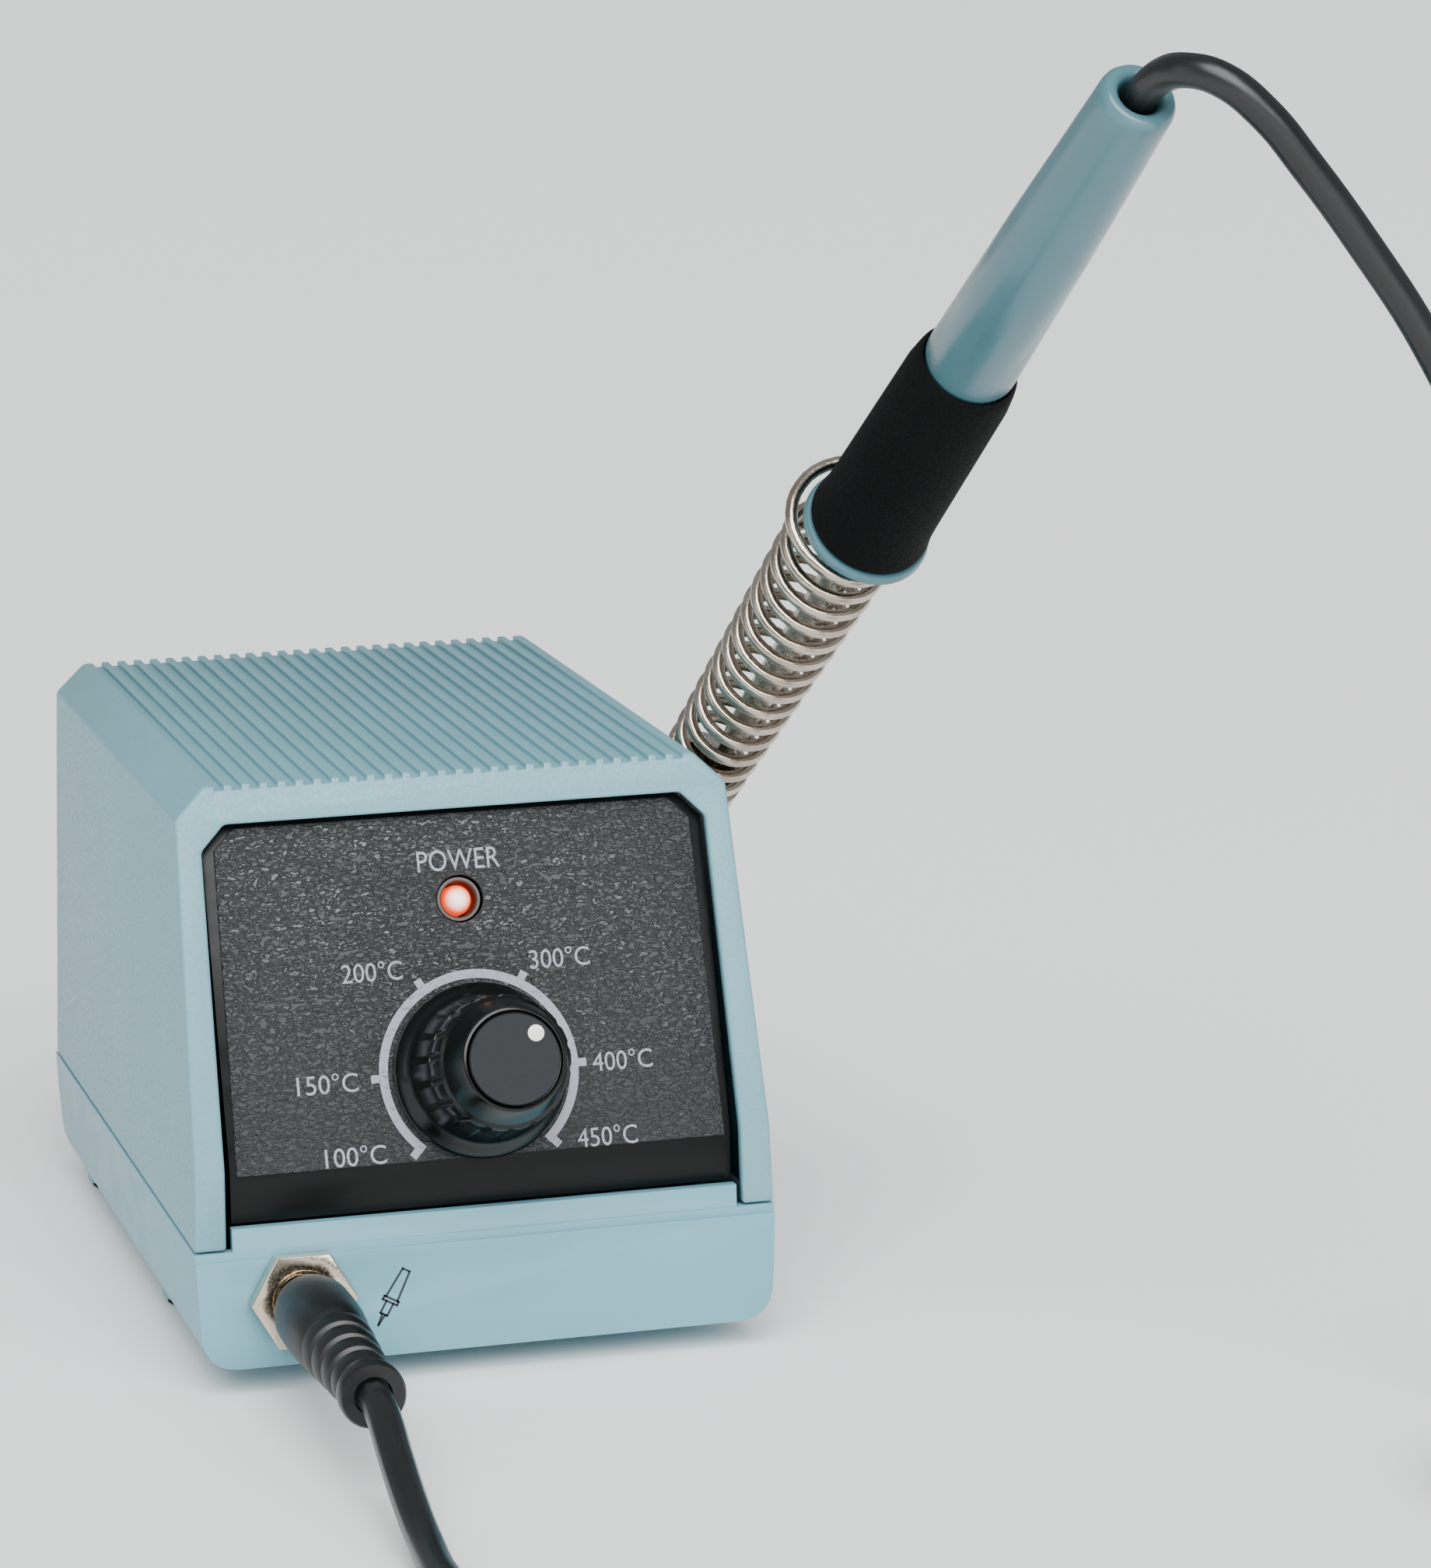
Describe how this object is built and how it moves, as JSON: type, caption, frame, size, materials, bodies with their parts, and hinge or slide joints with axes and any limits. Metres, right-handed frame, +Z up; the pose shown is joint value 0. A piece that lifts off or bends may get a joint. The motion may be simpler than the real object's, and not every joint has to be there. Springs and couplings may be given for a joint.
{
  "type": "soldering station",
  "caption": "Compact soldering station: ribbed plastic housing with a dial control and lamp, side spring holder, and a corded iron plugged into the front.",
  "frame": {"origin": "middle of the footprint at table height, measured without the cord and its plug", "axes": "+Z up, -Y towards the dial, +X towards the spring holder"},
  "size_m": [0.2302, 0.3047, 0.2059],
  "materials": {
    "case": "fine textured satin",
    "tray": "satin",
    "panel": "grained matt with a smooth black border",
    "rubber": "matt",
    "gloss_black": "gloss",
    "lamp": "clear orange lens",
    "zinc": "plated",
    "nickel": "bright nickel plate",
    "board": "lacquered",
    "sleeve": "printed sleeve",
    "core": "varnished laminations",
    "bobbin": "taped winding",
    "cord": "semi-gloss",
    "steel": "turned",
    "knob_face": "matt",
    "white": "painted",
    "handle": "semi-gloss",
    "foam": "matt foam",
    "copper": "tinned copper"
  },
  "bodies": {
    "station": {"upper_shell": "case", "base_tray": "tray", "front_panel": "panel", "rubber_foot_1": "rubber", "rubber_foot_2": "rubber", "rubber_foot_3": "rubber", "rubber_foot_4": "rubber", "led_holder": "gloss_black", "led_lens": "lamp", "pot_body": "zinc", "pot_nut": "nickel", "jack_body": "zinc", "jack_nut": "nickel", "circuit_board": "board", "board_capacitor": "sleeve", "heat_sink": "zinc", "transformer_core": "core", "transformer_winding": "bobbin", "mains_gland": "rubber", "holder_spring": "nickel", "holder_bracket": "nickel", "holder_screw_1": "zinc", "holder_screw_2": "zinc", "cord_iron": "cord", "cord_coil": "cord", "cord_plug": "cord"},
    "knob": {"pot_shaft": "steel", "knob": "gloss_black", "knob_face": "knob_face", "knob_dot": "white"},
    "plug": {"plug_barrel": "nickel", "plug_body": "cord", "plug_relief": "cord"},
    "iron": {"iron_flange": "handle", "iron_grip": "foam", "iron_handle": "handle", "iron_collar": "steel", "iron_barrel": "steel", "iron_heater": "copper", "iron_tip": "copper"}
  },
  "joints": [
    {"name": "knob_turn", "type": "hinge", "parent": "station", "child": "knob", "pos_m": [-0.02022, -0.03107, 0.0469], "axis": [0, -0.9557, 0.2944], "range_deg": [-92, 182]},
    {"name": "iron_lift", "type": "slide", "parent": "station", "child": "iron", "axis": [0.14, -0.753, 0.6429], "range_m": [0, 0.09], "deforming": ["cord_iron"]},
    {"name": "plug_pull", "type": "slide", "parent": "station", "child": "plug", "axis": [0, -1, 0], "range_m": [0, 0.012], "deforming": ["cord_plug"]}
  ]
}
